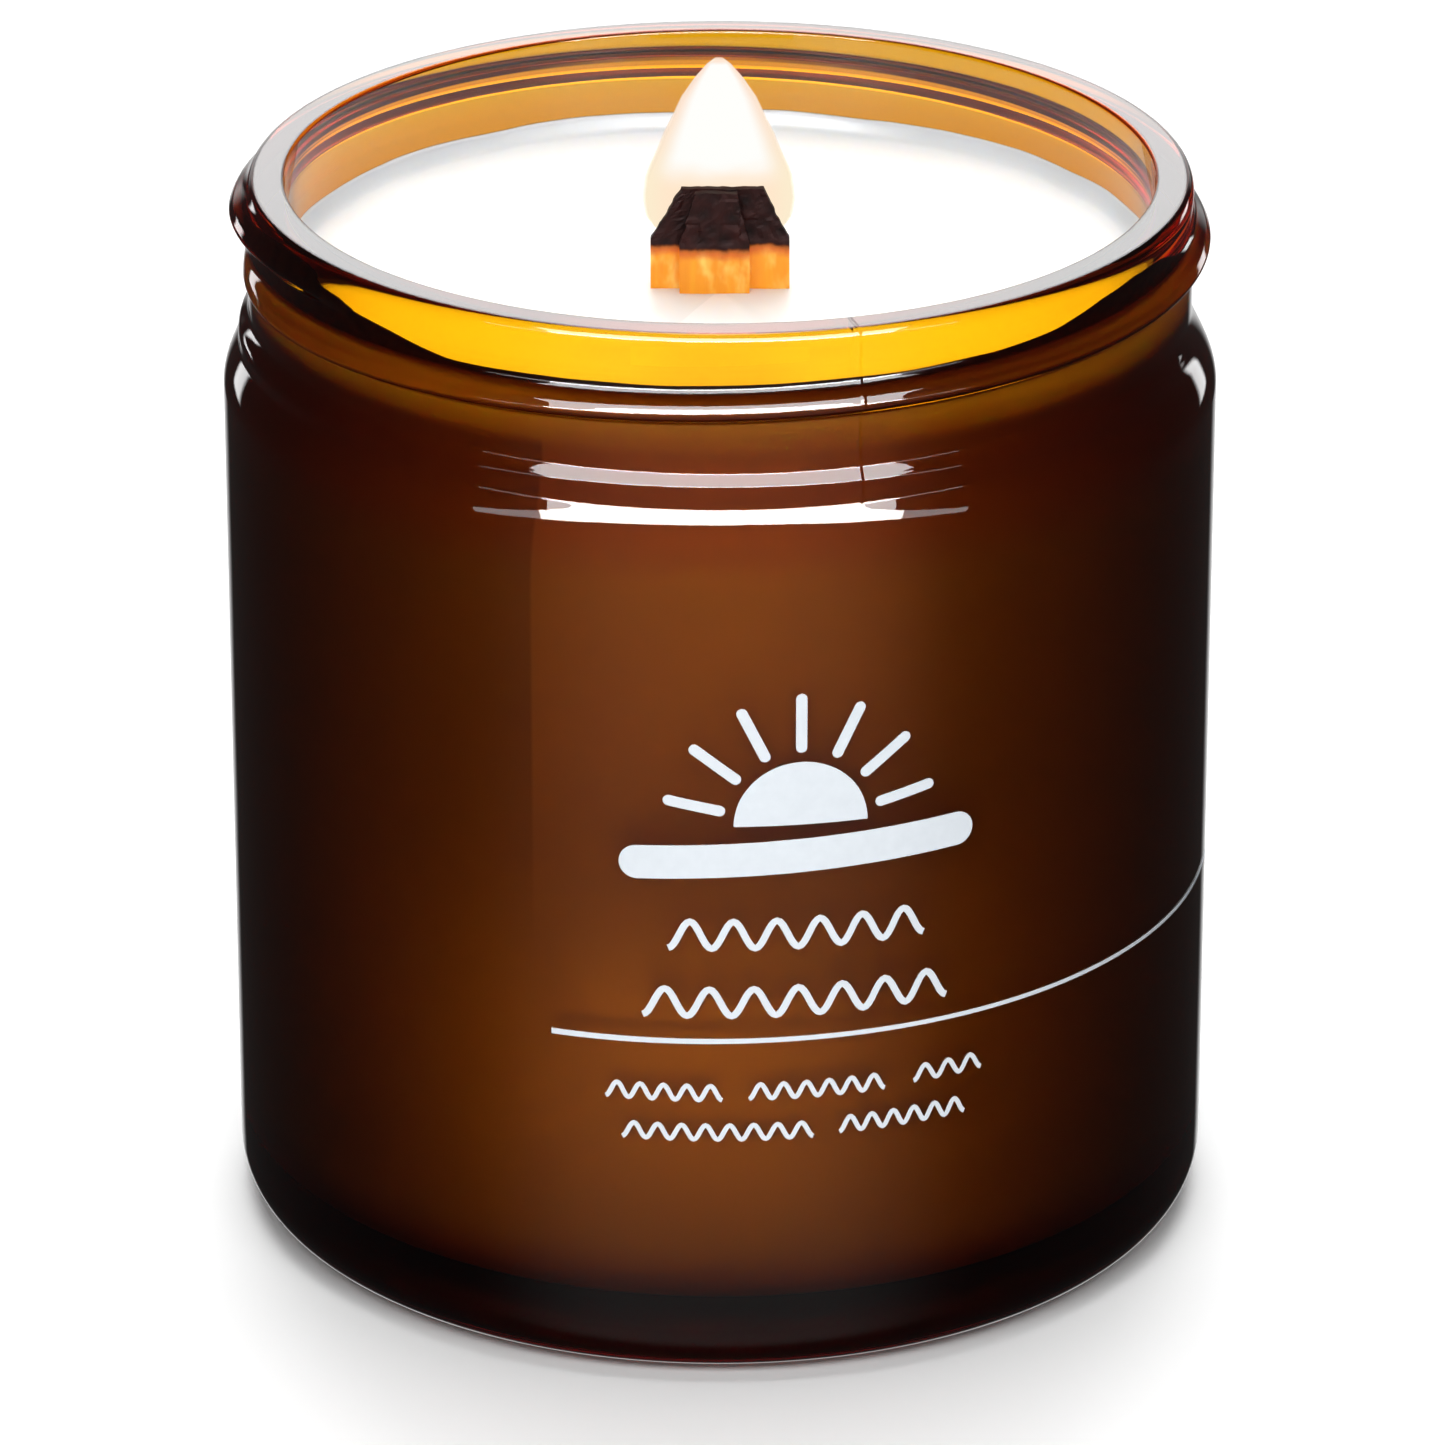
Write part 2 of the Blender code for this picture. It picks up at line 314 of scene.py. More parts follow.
def amber_glass():
    """Amber glass: faint streaks, slight surface waves, a mould seam, more colour where it is thicker, and a
    paler tint at the lip that is painted light.
    """
    graph = Graph(bpy.data.materials.new("amber_glass"))
    streaks = graph.noise(45.0, 3.0, (1.0, 1.0, 0.25))
    colour = graph.mix(streaks, (0.97, 0.74, 0.30, 1.0), (0.98, 0.79, 0.38, 1.0))
    # Paler glass towards the lip: painted light that brightens the wax seen through the neck.
    colour = graph.mix(graph.rise(*LIP_BRIGHTENING), colour, (1.0, 0.97, 0.5, 1.0))
    turn = graph.math("ARCTAN2", graph.axis("Y"), graph.axis("X"))
    seam_angle = (SEAM_TURN - 1) * 2 * math.pi
    off_seam = graph.math("ABSOLUTE", graph.math("SUBTRACT", turn, seam_angle))
    seam = graph.span(off_seam, 0.0, SEAM_HALF_ANGLE, 1.0, 0.0)
    waves = graph.math("MULTIPLY", graph.noise(70.0, 2.0), 0.6)
    height = graph.math("ADD", waves, graph.math("MULTIPLY", seam, graph.rise(*SEAM_FOOT)))
    normal = graph.bump(height, 0.35, 0.0002)
    graph.set(graph.shader, {"Base Color": colour, "Roughness": 0.0, "IOR": 1.52, "Transmission Weight": 1.0})
    graph.set(graph.shader, {"Normal": normal})
    depth = {"Color": (0.9945, 0.855, 0.025, 1.0), "Density": 1300.0}
    absorb = graph.node("ShaderNodeVolumeAbsorption", depth)
    graph.tree.links.new(absorb.outputs[0], graph.output.inputs["Volume"])
    return graph.owner


def candle_wax():
    """White wax, smooth on top. Its sides are painted darker and warmer than the top, and darker still
    outside a band on the front, painted shade; the high film is painted dark brown, also painted shade.
    """
    graph = Graph(bpy.data.materials.new("candle_wax"))
    mottle = graph.noise(60.0, 5.0)
    top_white = graph.mix(mottle, (0.79, 0.79, 0.77, 1.0), (0.88, 0.88, 0.87, 1.0))
    # The sides: a darker, warmer copy of the top's white, painted shade.
    shaded_side_white = graph.mix(mottle, (0.70, 0.66, 0.60, 1.0), (0.86, 0.82, 0.76, 1.0))
    # Outside a band on the front the sides are darker still, painted shade; the band stands in for light that
    # falls only on the front.
    turn = graph.math("ARCTAN2", graph.axis("Y"), graph.axis("X"))
    from_left = graph.span(turn, *FRONT_BAND_ANGLES[0])
    to_right = graph.span(turn, *FRONT_BAND_ANGLES[1], 1.0, 0.0)
    front_lit_band = graph.product(from_left, to_right, graph.rise(*FRONT_BAND_FOOT))
    shaded_sides = graph.mix(front_lit_band, (0.55, 0.52, 0.47, 1.0), shaded_side_white)
    on_top = graph.rise(88.0, 89.3)
    # The high film is painted dark brown: painted shade for the unlit film seen through the neck.
    film_shade = graph.mix(graph.noise(700.0, 5.0), (0.24, 0.12, 0.04, 1.0), (0.07, 0.03, 0.01, 1.0))
    colour = graph.mix(graph.rise(*FILM_SHADE_HEIGHTS), graph.mix(on_top, shaded_sides, top_white), film_shade)
    normal = graph.bump(graph.noise(220.0, 4.0), 0.25, 0.0003)
    graph.set(graph.shader, {"Base Color": colour, "Roughness": graph.span(mottle, 0.3, 0.7, 0.28, 0.45)})
    across = graph.math("POWER", graph.axis("X"), 2.0)
    along_y = graph.math("POWER", graph.axis("Y"), 2.0)
    reach = graph.math("SQRT", graph.math("ADD", across, along_y))
    skin = graph.math("MULTIPLY", graph.rise(90.3, 93.0), graph.span(reach, 39.3 * MM, 39.55 * MM))
    graph.set(graph.shader, {"Subsurface Weight": graph.span(skin, 0.0, 1.0, 0.6, 0.0)})
    graph.set(graph.shader, {"Subsurface Radius": (1.0, 0.8, 0.6)})
    graph.set(graph.shader, {"Subsurface Scale": 0.003, "IOR": 1.44, "Normal": normal})
    return graph.owner


def wick_wood():
    """Thin wood soaked with wax, with cracked charcoal above a glowing burn line. Below the char the wood
    glows faintly in its own colour, painted light standing in for the flame's light on it.
    """
    graph = Graph(bpy.data.materials.new("wick_wood"))
    grain = graph.noise(900.0, 6.0, (1.0, 1.0, 0.08))
    blotches = graph.noise(500.0, 3.0, (1.0, 1.0, 0.5))
    amber = graph.mix(grain, (0.95, 0.40, 0.02, 1.0), (0.74, 0.20, 0.01, 1.0))
    wood = graph.mix(graph.span(blotches, 0.45, 0.75), amber, (0.96, 0.62, 0.14, 1.0))
    ragged = graph.math("MULTIPLY", graph.noise(400.0, 4.0), 1.6 * MM)
    level = graph.math("SUBTRACT", graph.axis("Z"), ragged)
    scorched = graph.mix(graph.span(level, 90.9 * MM, 92.2 * MM), wood, (0.45, 0.09, 0.01, 1.0))
    cells = graph.cells(650.0)
    coal = graph.mix(cells, (0.004, 0.001, 0.001, 1.0), (0.03, 0.005, 0.004, 1.0))
    burnt = graph.span(level, 91.9 * MM, 92.5 * MM)
    colour = graph.mix(burnt, scorched, coal)
    relief = graph.math("ADD", grain, graph.math("MULTIPLY", cells, burnt))
    graph.set(graph.shader, {"Base Color": colour, "Normal": graph.bump(relief, 0.5, 0.0003)})
    graph.set(graph.shader, {"Roughness": graph.span(burnt, 0.0, 1.0, 0.25, 0.6)})
    graph.set(graph.shader, {"Specular IOR Level": graph.span(burnt, 0.0, 1.0, 0.25, 0.1)})
    # Emission: a red ember band at the burn line, and below the char a faint glow in the wood's own colour,
    # painted light standing in for the flame's light.
    above_foot = graph.span(level, 91.0 * MM, 91.7 * MM)
    below_top = graph.span(level, 91.7 * MM, 92.3 * MM, 1.0, 0.0)
    ember = graph.math("MULTIPLY", above_foot, below_top)
    graph.set(graph.shader, {"Emission Color": graph.mix(ember, wood, (1.0, 0.10, 0.02, 1.0))})
    graph.set(graph.shader, {"Emission Strength": graph.span(burnt, 0.0, 1.0, 0.2, 0.0)})
    return graph.owner


def flame_glow():
    """Glowing gas: white inside, cream at its rim, peach low down by the wick, and soft at the very edge."""
    graph = Graph(bpy.data.materials.new("flame_glow"))
    rim = graph.node("ShaderNodeAttribute", attribute_name="rim").outputs["Fac"]
    flicker = graph.math("MULTIPLY", graph.math("SUBTRACT", graph.noise(260.0, 2.0), 0.5), 2.0 * MM)
    level = graph.math("ADD", graph.axis("Z"), flicker)
    core_height = graph.span(level, 97.5 * MM, 102.0 * MM)
    core = graph.mix(core_height, (1.0, 0.80, 0.60, 1.0), (1.0, 1.0, 0.97, 1.0))
    edge_height = graph.span(level, 97.0 * MM, 108.0 * MM)
    edge = graph.mix(edge_height, (0.97, 0.84, 0.62, 1.0), (0.98, 0.78, 0.64, 1.0))
    colour = graph.mix(graph.span(rim, 0.62, 0.97), core, edge)
    graph.set(graph.shader, {"Base Color": (0.0, 0.0, 0.0, 1.0), "Emission Color": colour})
    graph.set(graph.shader, {"Emission Strength": 1.0, "Specular IOR Level": 0.0})
    graph.set(graph.shader, {"Alpha": graph.span(rim, 0.93, 1.0, 1.0, 0.25)})
    return graph.owner


def white_ink():
    """White printing ink with a fine speckle."""
    graph = Graph(bpy.data.materials.new("white_ink"))
    speckle = graph.noise(900.0, 3.0)
    colour = graph.mix(speckle, (0.74, 0.79, 0.84, 1.0), (0.82, 0.87, 0.92, 1.0))
    graph.set(graph.shader, {"Base Color": colour, "Roughness": 0.35})
    graph.set(graph.shader, {"Normal": graph.bump(speckle, 0.2, 0.00005)})
    return graph.owner


def tinplate():
    """Tinned steel with a fine brushed grain."""
    graph = Graph(bpy.data.materials.new("bright_tinplate"))
    brushed = graph.noise(700.0, 3.0, (0.1, 1.0, 1.0))
    colour = graph.mix(brushed, (0.55, 0.55, 0.53, 1.0), (0.72, 0.72, 0.70, 1.0))
    graph.set(graph.shader, {"Base Color": colour})
    graph.set(graph.shader, {"Metallic": 1.0, "Roughness": graph.span(brushed, 0.3, 0.7, 0.25, 0.4)})
    return graph.owner


def pad_foam():
    """Foam with small open pores."""
    graph = Graph(bpy.data.materials.new("foam_pad"))
    pores = graph.cells(1800.0)
    colour = graph.mix(pores, (0.70, 0.70, 0.67, 1.0), (0.88, 0.88, 0.85, 1.0))
    graph.set(graph.shader, {"Base Color": colour, "Roughness": 0.9})
    graph.set(graph.shader, {"Normal": graph.bump(pores, 0.4, 0.0002)})
    return graph.owner


# Jar -----------------------------------------------------------------------------------------------


def thread_ridge(turn, z):
    """The height of the thread at a place on the neck, where the two ends of the turn run side by side."""
    best = 0.0
    for lap in (turn - 1, turn):
        crest = THREAD_CREST_AT_X + THREAD_PITCH * lap
        best = max(best, ridge_height(THREAD_SECTION, z - crest) * fade(lap, THREAD_TURNS))
    return best


def neck_relief(turn, radius, z):
    """Thread and transfer bead, on the outside of the neck only."""
    if radius < LAND_RADII[1] or z < SHOULDER_FOOT:
        return radius, z
    bead = ridge_height(BEAD_SECTION, z - BEAD_CREST) * fade(turn, BEAD_TURNS)
    return radius + thread_ridge(turn, z) * ease((HEIGHT - z) / LIP_EDGE) + bead, z


def shoulder_radius(z):
    share = (z - SHOULDER_FOOT) / (NECK_FOOT - SHOULDER_FOOT)
    return NECK_RADIUS + (BODY_RADIUS - NECK_RADIUS) * (1 - ease(share))


def outer_profile():
    underside = [(0.0, PUSH_UP), (24.0, PUSH_UP), (34.0, 0.8 * PUSH_UP), (37.2, 0.35 * PUSH_UP)]
    heel_width = BODY_RADIUS - BEARING_RADII[1]
    heel = arc((BEARING_RADII[1], HEEL_HEIGHT), (heel_width, HEEL_HEIGHT), -90, 0, 14)
    wall = [(BODY_RADIUS, z) for z in (8.0, 30.0, 56.0, 78.0)]
    neck_start = NECK_FOOT + 0.8
    shoulder = [(shoulder_radius(z), z) for z in between(SHOULDER_FOOT, neck_start, 60)]
    neck = [(NECK_RADIUS, z) for z in between(neck_start + 0.12, HEIGHT - LIP_EDGE, 80)]
    edge_centre = (LAND_RADII[1], HEIGHT - LIP_EDGE)
    lip = arc(edge_centre, (NECK_RADIUS - LAND_RADII[1], LIP_EDGE), 0, 90, 12)[1:]
    return underside + [(BEARING_RADII[0], 0.0)] + heel + wall + shoulder + neck + lip


def inner_profile(clearance=0.0):
    """From the foot of the bore down to the middle of the floor, moved inwards by a clearance."""
    bore, wall = BORE_RADIUS - clearance, INNER_RADIUS - clearance
    steps = 16
    shoulder = []
    for step in range(steps + 1):
        z = BORE_FOOT + (INNER_SHOULDER_FOOT - BORE_FOOT) * step / steps
        shoulder.append((bore + (wall - bore) * ease(step / steps), z))
    centre = (INNER_RADIUS - INNER_CORNER, FLOOR_HEIGHT + INNER_CORNER)
    corner = arc(centre, (INNER_CORNER - clearance, INNER_CORNER - clearance), 0, -90, 12)
    return shoulder + corner + [(20.0, FLOOR_HEIGHT + clearance), (0.0, FLOOR_HEIGHT + clearance)]


def build_jar():
    edge = LAND_RADII[0] - BORE_RADIUS
    land = [(LAND_RADII[1] - 0.1, HEIGHT), (LAND_RADII[0] + 0.1, HEIGHT)]
    inner_edge = arc((LAND_RADII[0], HEIGHT - edge), (edge, edge), 90, 180, 6)
    bore = [(BORE_RADIUS, z) for z in (99.6, 96.0, 92.0)]
    shape = revolve(outer_profile() + land + inner_edge + bore + inner_profile(), JAR_SEGMENTS, neck_relief)
    finish_piece(link("amber_jar", shape), amber_glass(), ["glass_jar"])


# Wax -----------------------------------------------------------------------------------------------


def film_share(radius):
    """How far the film of wax at the glass has risen at a radius, from 0 to 1."""
    return ease((radius / (BORE_RADIUS + WAX_BITE) - FILM_START) / (1 - FILM_START)) ** 2


def wax_relief(turn, radius, z):
    """An uneven edge where the wax meets the glass, soft waves over the top, and the rise of the film."""
    if z < WAX_CENTRE - 0.1:
        return radius, z
    angle = 2 * math.pi * turn
    place = Vector((math.cos(angle) * radius, math.sin(angle) * radius, 0.0))
    near_edge = ease((radius / BORE_RADIUS - 0.9) / 0.1)
    lift = 0.35 * near_edge * noise.noise(place * 0.12) + 0.06 * noise.noise(place * 0.3)
    off_front = abs((math.degrees(angle) + 270.0) % 360.0 - 180.0)
    return radius, z + lift + along(FILM_RISE, off_front) * film_share(radius)


def build_wax():
    """From the middle of the dished top out to the film that climbs the glass, then down the sides."""
    edge_radius = BORE_RADIUS + WAX_BITE
    top = []
    for share in between(0.0, 0.96, 40) + between(FILM_START, 1.0, 8):
        dish = WAX_CENTRE + (WAX_EDGE - WAX_CENTRE) * share**3
        top.append((edge_radius * share, dish + WAX_CLIMB * film_share(edge_radius * share)))
    shape = revolve(top + inner_profile(-WAX_BITE)[1:], WAX_SEGMENTS, wax_relief)
    finish_piece(link("wax_casting", shape), candle_wax(), ["wax_fill"])


# Wick ----------------------------------------------------------------------------------------------


def strip_edges(left, right, z, seed):
    """Left and right edge of a strip at a height: straight below the char, burnt in at the corners above."""
    share = max(0.0, (z - BURN_START) / (WICK_TOP - BURN_START))
    cut = BURN_CUT * (right - left) * share**0.9
    rough = CHAR_ROUGHNESS * min(1.0, 4 * share)
    jag = [rough * noise.noise(Vector((seed + side, z * 1.3, 0.0))) for side in (0.0, 7.0)]
    return left + cut + jag[0], right - 0.85 * cut + jag[1]


def build_strip(name, node, span, faces_y, seed, material):
    """A thin strip as a closed grid, with pits and facets where it is charred."""
    heights = between(STRIP_FOOT, 88.0, 4) + between(88.4, WICK_TOP, 40)
    shape = bmesh.new()
    rings = []
    for z in heights:
        low, high = strip_edges(*span, z, seed)
        charred = ease((z - CHAR_FOOT) / 0.8)
        ring = []
        for face, side in zip(faces_y, (-1, 1)):
            xs = between(low, high, STRIP_COLUMNS)
            for x in xs if side < 0 else reversed(xs):
                place = Vector((x * 0.55, seed + side * 3.0, z * 0.45))
                pit = CHAR_PIT * charred * (noise.cell(place) + noise.noise(place * 2.5))
                crown = z + 0.25 * noise.noise(Vector((x * 0.5, seed, 1.0))) * (z >= WICK_TOP)
                ring.append(shape.verts.new((x, face - side * abs(pit), crown)))
        rings.append(ring)
    count = len(rings[0])
    for lower, upper in zip(rings, rings[1:]):
        for step in range(count):
            after = (step + 1) % count
            shape.faces.new((lower[step], lower[after], upper[after], upper[step]))
    shape.faces.new(rings[0])
    top = rings[-1]
    for step in range(STRIP_COLUMNS):
        shape.faces.new((top[step], top[step + 1], top[count - 2 - step], top[count - 1 - step]))
    finish_piece(link(name, shape, smooth=False), material, [node])


def build_wick():
    wood = wick_wood()
    wide_span = (-STRIP_HALF_WIDTH, STRIP_HALF_WIDTH)
    build_strip("wide_wick_strip", "wick_strip", wide_span, (STRIP_NEAR, STRIP_FAR), 1.0, wood)
    build_strip("narrow_wick_strip", "wick_booster", BOOSTER_SPAN, (-STRIP_FAR, -STRIP_NEAR), 5.0, wood)


# Flame ---------------------------------------------------------------------------------------------


def build_flame():
    """A flat teardrop that rises behind the wick and leans over it above its top. Each point carries how near
    the rim it is, for the flame's colour."""
    shape = bmesh.new()
    rim = shape.verts.layers.float.new("rim")
    rings = []
    foot, tip = FLAME_OUTLINE[0][0], FLAME_OUTLINE[-1][0]
    for z in between(foot, tip, 60):
        wide = along(FLAME_OUTLINE, z)
        deep = FLAME_FLATNESS * wide
        lean = ease((z - FLAME_LEAN_FOOT) / FLAME_LEAN_HEIGHT)
        middle = (STRIP_FAR + FLAME_GAP + deep) * (1 - lean) + FLAME_TOP_Y * lean
        ring = []
        for step in range(FLAME_SIDES):
            angle = 2 * math.pi * step / FLAME_SIDES
            x = FLAME_SHIFT + wide * math.cos(angle)
            vert = shape.verts.new((x, middle + deep * math.sin(angle), z))
            vert[rim] = max(abs(math.cos(angle)), ease((z - tip + 1.5) / 1.5))
            ring.append(vert)
        rings.append(ring)
    for lower, upper in zip(rings, rings[1:]):
        for step in range(FLAME_SIDES):
            after = (step + 1) % FLAME_SIDES
            shape.faces.new((lower[step], lower[after], upper[after], upper[step]))
    shape.faces.new(rings[0])
    shape.faces.new(rings[-1])
    finish_piece(link("flame", shape), flame_glow())


# Print ---------------------------------------------------------------------------------------------


def on_body(arc_length, z, lift):
    """A point just off the jar's body, from its arc length from the front line and its height."""
    angle = arc_length / BODY_RADIUS
    radius = BODY_RADIUS + lift
    return radius * math.sin(angle), -radius * math.cos(angle), z


def ribbon(shape, pairs):
    """A thin raised band of ink between pairs of (arc length, height) points."""
    rows = []
    for low, high in pairs:
        corners = ((low, PRINT_LIFT), (high, PRINT_LIFT), (high, PRINT_TOP), (low, PRINT_TOP))
        rows.append([shape.verts.new(on_body(*point, lift)) for point, lift in corners])
    for first, second in zip(rows, rows[1:]):
        for step in range(4):
            after = (step + 1) % 4
            shape.faces.new((first[step], first[after], second[after], second[step]))
    shape.faces.new(rows[0])
    shape.faces.new(rows[-1])


def stroke(shape, path, half_width):
    """A line of ink along a path, with a half width that may change along it."""
    pairs = []
    last = len(path) - 1
    for index, (arc_length, z) in enumerate(path):
        before, after = path[max(index - 1, 0)], path[min(index + 1, last)]
        run_s, run_z = after[0] - before[0], after[1] - before[1]
        run = math.hypot(run_s, run_z)
        half = half_width(index / last) if callable(half_width) else half_width
        reach_s, reach_z = -run_z / run * half, run_s / run * half
        pairs.append(((arc_length - reach_s, z - reach_z), (arc_length + reach_s, z + reach_z)))
    ribbon(shape, pairs)


def bar(shape, start, end, half_width):
    """A straight stroke with rounded ends."""
    length = math.hypot(end[0] - start[0], end[1] - start[1])
    cap = half_width / length
    places = [-cap * math.cos(math.pi * step / 16) for step in range(8)] + between(0.0, 1.0, 24)
    places += [1 + cap * math.sin(math.pi * step / 16) for step in range(1, 9)]

    def width(share):
        place = places[round(share * (len(places) - 1))]
        over = max(-place, place - 1, 0.0) / cap
        return half_width * max(math.sqrt(max(1 - over**2, 0.0)), 0.05)

    path = [(start[0] + (end[0] - start[0]) * t, start[1] + (end[1] - start[1]) * t) for t in places]
    stroke(shape, path, width)


def wavy_line(shape, left, right, foot, height, half_width):
    """A line of even waves."""
    waves = round((right - left) / (WAVE_LENGTH * height))
    steps = 16 * waves
    path = []
    for step in range(steps + 1):
        swing = 0.5 - 0.5 * math.cos(2 * math.pi * waves * step / steps)
        path.append((left + (right - left) * step / steps, foot + height * swing))
    stroke(shape, path, half_width)


def build_sun(shape, centre_s, foot):
    """Half a disc with rays round it."""
    steps = 40
    pairs = []
    for step in range(steps + 1):
        angle = math.pi * (1 - step / steps)
        s = centre_s + SUN_RADIUS * math.cos(angle)
        pairs.append(((s, foot), (s, foot + max(SUN_RADIUS * math.sin(angle), 0.02))))
    ribbon(shape, pairs)
    for ray in range(RAY_COUNT):
        angle = math.radians(RAY_START + RAY_STEP * ray)
        ends = [(centre_s + r * math.cos(angle), foot + r * math.sin(angle)) for r in RAY_REACH]
        bar(shape, *ends, RAY_HALF_WIDTH)


def build_print():
    """A rising-sun sign, wavy lines in place of words, and a long rule round the body."""
    shape = bmesh.new()
    left_end = (PRINT_MIDDLE - HORIZON_HALF_LENGTH, HORIZON_HEIGHTS[0])
    right_end = (PRINT_MIDDLE + HORIZON_HALF_LENGTH, HORIZON_HEIGHTS[1])
    bar(shape, left_end, right_end, HORIZON_HALF_WIDTH)
    build_sun(shape, PRINT_MIDDLE, SUN_FOOT)
    for left, right, foot, height, half_width in WAVY_LINES:
        wavy_line(shape, left, right, foot, height, half_width)
    shares = between(0.0, 1.0, 120)
    rule = [(RULE_START + RULE_LENGTH * t, RULE_HEIGHT + RULE_RISE * t) for t in shares]
    stroke(shape, rule, lambda share: RULE_HALF_WIDTH - RULE_THINNING * share)
    finish_piece(link("body_print", shape, smooth=False), white_ink())


# Stage ---------------------------------------------------------------------------------------------


def build_floor():
    """A pale floor for the camera. Light that has met the jar or the wax sees the world in its place."""
    shape = bmesh.new()
    bmesh.ops.create_grid(shape, x_segments=1, y_segments=1, size=FLOOR_HALF_SIZE / MM)
    floor = link("studio_floor", shape, smooth=False)
    graph = Graph(bpy.data.materials.new("pale_floor"))
    matt = {"Base Color": (0.99, 0.99, 0.99, 1.0), "Roughness": 1.0, "Specular IOR Level": 0.0}
    graph.set(graph.shader, matt)
    floor.data.materials.append(graph.owner)
    floor.visible_glossy = False
    floor.visible_transmission = False
    floor.visible_diffuse = False


def build_shade_dish():
    """A near-black dish under the jar that only light within the glass sees: painted shade standing in for
    the shadowed floor under the jar, so that the base keeps its depth.
    """
    shape = bmesh.new()
    rings = []
    angles = [2 * math.pi * step / SHADE_DISH_SIDES for step in range(SHADE_DISH_SIDES)]
    for radius, z in SHADE_DISH_PROFILE:
        rings.append([shape.verts.new((radius * math.cos(a), radius * math.sin(a), z)) for a in angles])
    shape.faces.new(rings[0])
    for step in range(SHADE_DISH_SIDES):
        after = (step + 1) % SHADE_DISH_SIDES
        shape.faces.new((rings[0][step], rings[0][after], rings[1][after], rings[1][step]))
    shade_piece = link("shade_dish", shape, smooth=False)
    # Near black: painted shade for the floor in the jar's shadow.
    graph = Graph(bpy.data.materials.new("shade_dish_black"))
    dish_noise = graph.noise(2500.0)
    colour = graph.mix(dish_noise, (0.004, 0.004, 0.004, 1.0), (0.02, 0.02, 0.022, 1.0))
    graph.set(graph.shader, {"Base Color": colour, "Roughness": 1.0, "Specular IOR Level": 0.0})
    shade_piece.data.materials.append(graph.owner)
    shade_piece.visible_camera = False
    shade_piece.visible_diffuse = False
    shade_piece.visible_glossy = False
    shade_piece.visible_shadow = False


def studio_light(graph, path):
    """What lights the scene from all round: a bright table and sky behind the jar, a low card at either side
    of them that only reflections see, dark sides, and a soft glow in front."""
    direction = graph.node("ShaderNodeTexCoord").outputs["Generated"]
    parts = graph.node("ShaderNodeSeparateXYZ", {0: direction}).outputs
    across, back, up = graph.math("ABSOLUTE", parts["X"]), parts["Y"], parts["Z"]
    reflected = graph.span(path["Transmission Depth"], 0.0, 1.0, 1.0, 0.0)
    behind = graph.span(back, 0.0, 0.2)
    sideways = graph.math("DIVIDE", across, graph.math("MAXIMUM", back, 0.01))
    table_width = graph.span(sideways, 0.16, 0.34, 1.0, 0.0)
    table = graph.product(behind, table_width, graph.span(up, -0.8, -0.6), TABLE_GLOW)
    sky_width = graph.span(sideways, 0.34, 0.5, 1.0, 0.0)
    low_sky = graph.product(behind, sky_width, graph.span(up, -0.14, -0.04), LOW_SKY_GLOW)
    high_sky = graph.product(behind, sky_width, graph.span(up, 0.22, 0.34), HIGH_SKY_GLOW)
    high_sky = graph.math("MULTIPLY", high_sky, graph.math("MAXIMUM", reflected, 0.4))
    card_width = graph.product(graph.span(across, 0.49, 0.53), graph.span(across, 0.60, 0.64, 1.0, 0.0))
    card_height = graph.product(graph.span(up, -0.17, -0.14), graph.span(up, -0.04, -0.01, 1.0, 0.0))
    card = graph.product(behind, card_width, card_height, CARD_GLOW, reflected)
    front_width = graph.span(across, 0.3, 0.9, 1.0, 0.0)
    in_front = graph.product(graph.span(back, -0.3, -0.7), front_width, FRONT_GLOW)
    light = BASE_GLOW
    for part in (table, low_sky, high_sky, card, in_front):
        light = graph.math("ADD", part, light)
    return graph.math("MULTIPLY", light, graph.span(path["Diffuse Depth"], 0.0, 1.0, 1.0, 0.3))


def build_world():
    """A white background for the camera, and the studio's light for everything else."""
    world = bpy.data.worlds.new("studio")
    bpy.context.scene.world = world
    graph = Graph(world)
    path = graph.node("ShaderNodeLightPath").outputs
    strength = graph.node("ShaderNodeMix", {"Factor": path["Is Camera Ray"]}, data_type="FLOAT")
    graph.set(strength, {2: studio_light(graph, path), 3: 1.0})
    background = world.node_tree.nodes["Background"]
    graph.set(background, {"Color": (1.0, 1.0, 1.0, 1.0), "Strength": strength.outputs[0]})


def area_light(name, place, target, size, power, diffuse=True, glossy=False, transmit=False):
    """A rectangular lamp, in metres and watts, that isn't seen itself and lights only the kinds asked for."""
    lamp = bpy.data.lights.new(name, "AREA")
    lamp.shape = "RECTANGLE"
    lamp.size, lamp.size_y = size
    lamp.energy = power
    obj = bpy.data.objects.new(name, lamp)
    bpy.context.scene.collection.objects.link(obj)
    obj.location = place
    obj.rotation_euler = (Vector(target) - Vector(place)).to_track_quat("-Z", "Y").to_euler()
    obj.visible_camera = False
    obj.visible_diffuse = diffuse
    obj.visible_glossy = glossy
    obj.visible_transmission = transmit
    return lamp


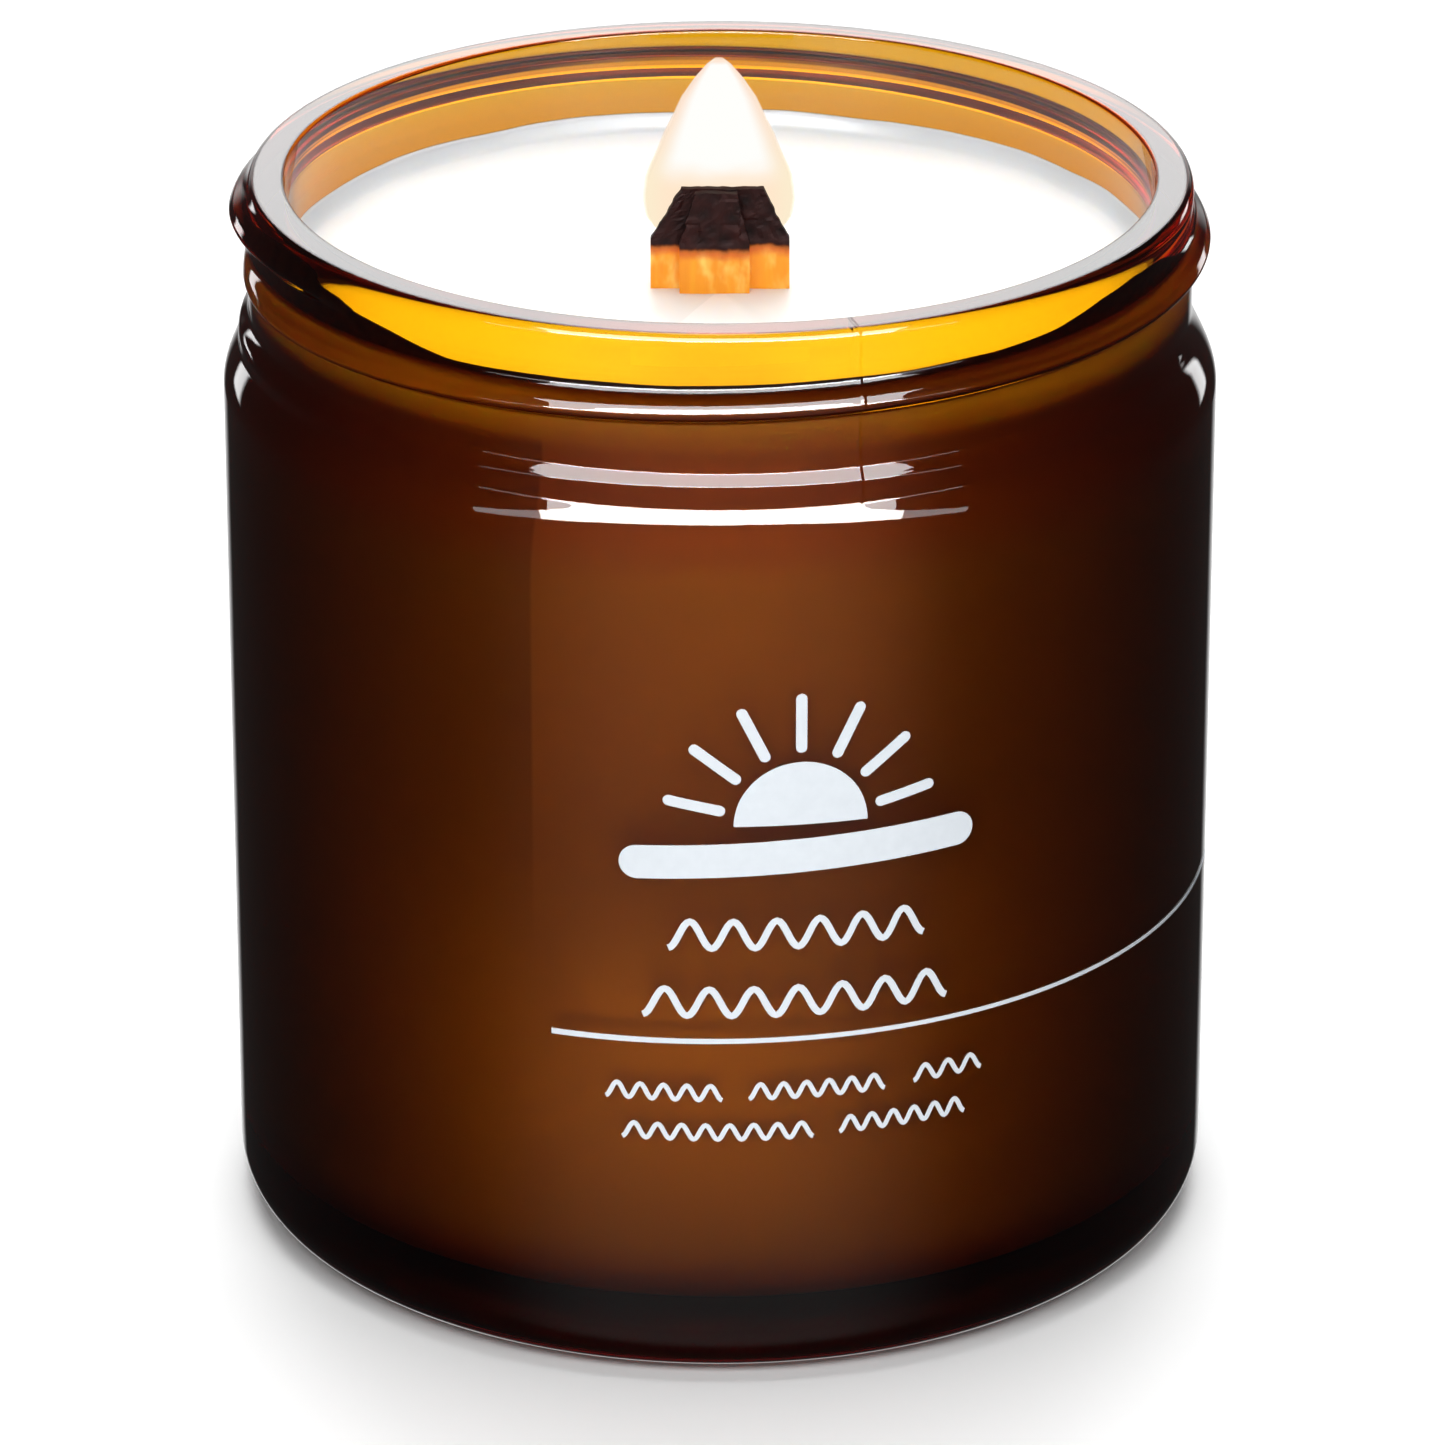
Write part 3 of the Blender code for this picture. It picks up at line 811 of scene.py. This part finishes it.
def front_light(name, elevation, distance, size, power):
    """A strip above the camera that shows in the glass's gloss, but sends almost no light through it."""
    x, y, z = REFLECTED_SPOT
    angle = math.radians(elevation)
    place = (x, y - distance * math.cos(angle), z + distance * math.sin(angle))
    lamp = area_light(name, place, REFLECTED_SPOT, size, power, diffuse=False, glossy=True)
    graph = Graph(lamp)
    path = graph.node("ShaderNodeLightPath").outputs
    before_scatter = graph.span(path["Diffuse Depth"], 0.0, 1.0, 1.0, 0.0)
    outside = graph.span(path["Transmission Depth"], 0.0, 1.0, 1.0, 0.03)
    graph.set(lamp.node_tree.nodes["Emission"], {"Strength": graph.product(before_scatter, outside)})


def front_card(name, place, size, power):
    """A small light near the body that only lights the wax through the glass."""
    area_light(name, place, (0.0, 0.0, place[2]), size, power, diffuse=False, transmit=True)


def build_lights():
    front_light("front_strip", 31.0, 0.86, (1.41, 0.09), 9.0)
    front_light("front_softbox", 45.0, 0.9, (1.4, 0.36), 17.0)
    front_light("front_wings", 31.0, 0.88, (2.5, 0.09), 2.5)
    area_light("overhead", (0.0, 0.12, 0.6), (0.0, 0.0, 0.1), (0.5, 0.5), 3.6)
    area_light("front_fill", (0.0, -0.68, 0.73), (0.0, 0.0, 0.09), (1.2, 0.36), 6.5)
    area_light("print_fill", (0.0, -0.9, 0.05), (0.0, 0.0, 0.05), (0.3, 0.2), 6.2)
    front_card("top_card", (0.0, -0.0755, 0.086), (0.045, 0.01), 0.0055)
    front_card("middle_card", (0.0, -0.11, 0.055), (0.03, 0.06), 0.004)
    front_card("low_card", (-0.002, -0.0635, 0.0285), (0.045, 0.006), 0.005)


def build_camera():
    """A long lens in front of the jar that looks down at it."""
    camera = bpy.data.cameras.new("camera")
    camera.lens = CAMERA_LENS
    camera.sensor_width = 36.0
    camera.clip_start = 0.01
    obj = bpy.data.objects.new("camera", camera)
    bpy.context.scene.collection.objects.link(obj)
    obj.location = CAMERA_PLACE
    obj.rotation_euler = (math.radians(90 - CAMERA_DIP), 0.0, 0.0)
    bpy.context.scene.camera = obj


def finish_cad_nodes():
    """The clip and its pad are shown as the CAD made them, with their own materials."""
    for node, material in (("wick_clip", tinplate()), ("clip_sticker", pad_foam())):
        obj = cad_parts[node]
        for material_slot in obj.material_slots:
            material_slot.material = material


build_jar()
build_wax()
build_wick()
build_flame()
build_print()
finish_cad_nodes()
build_floor()
build_shade_dish()
build_world()
build_lights()
build_camera()
bpy.context.scene.view_settings.view_transform = "Standard"
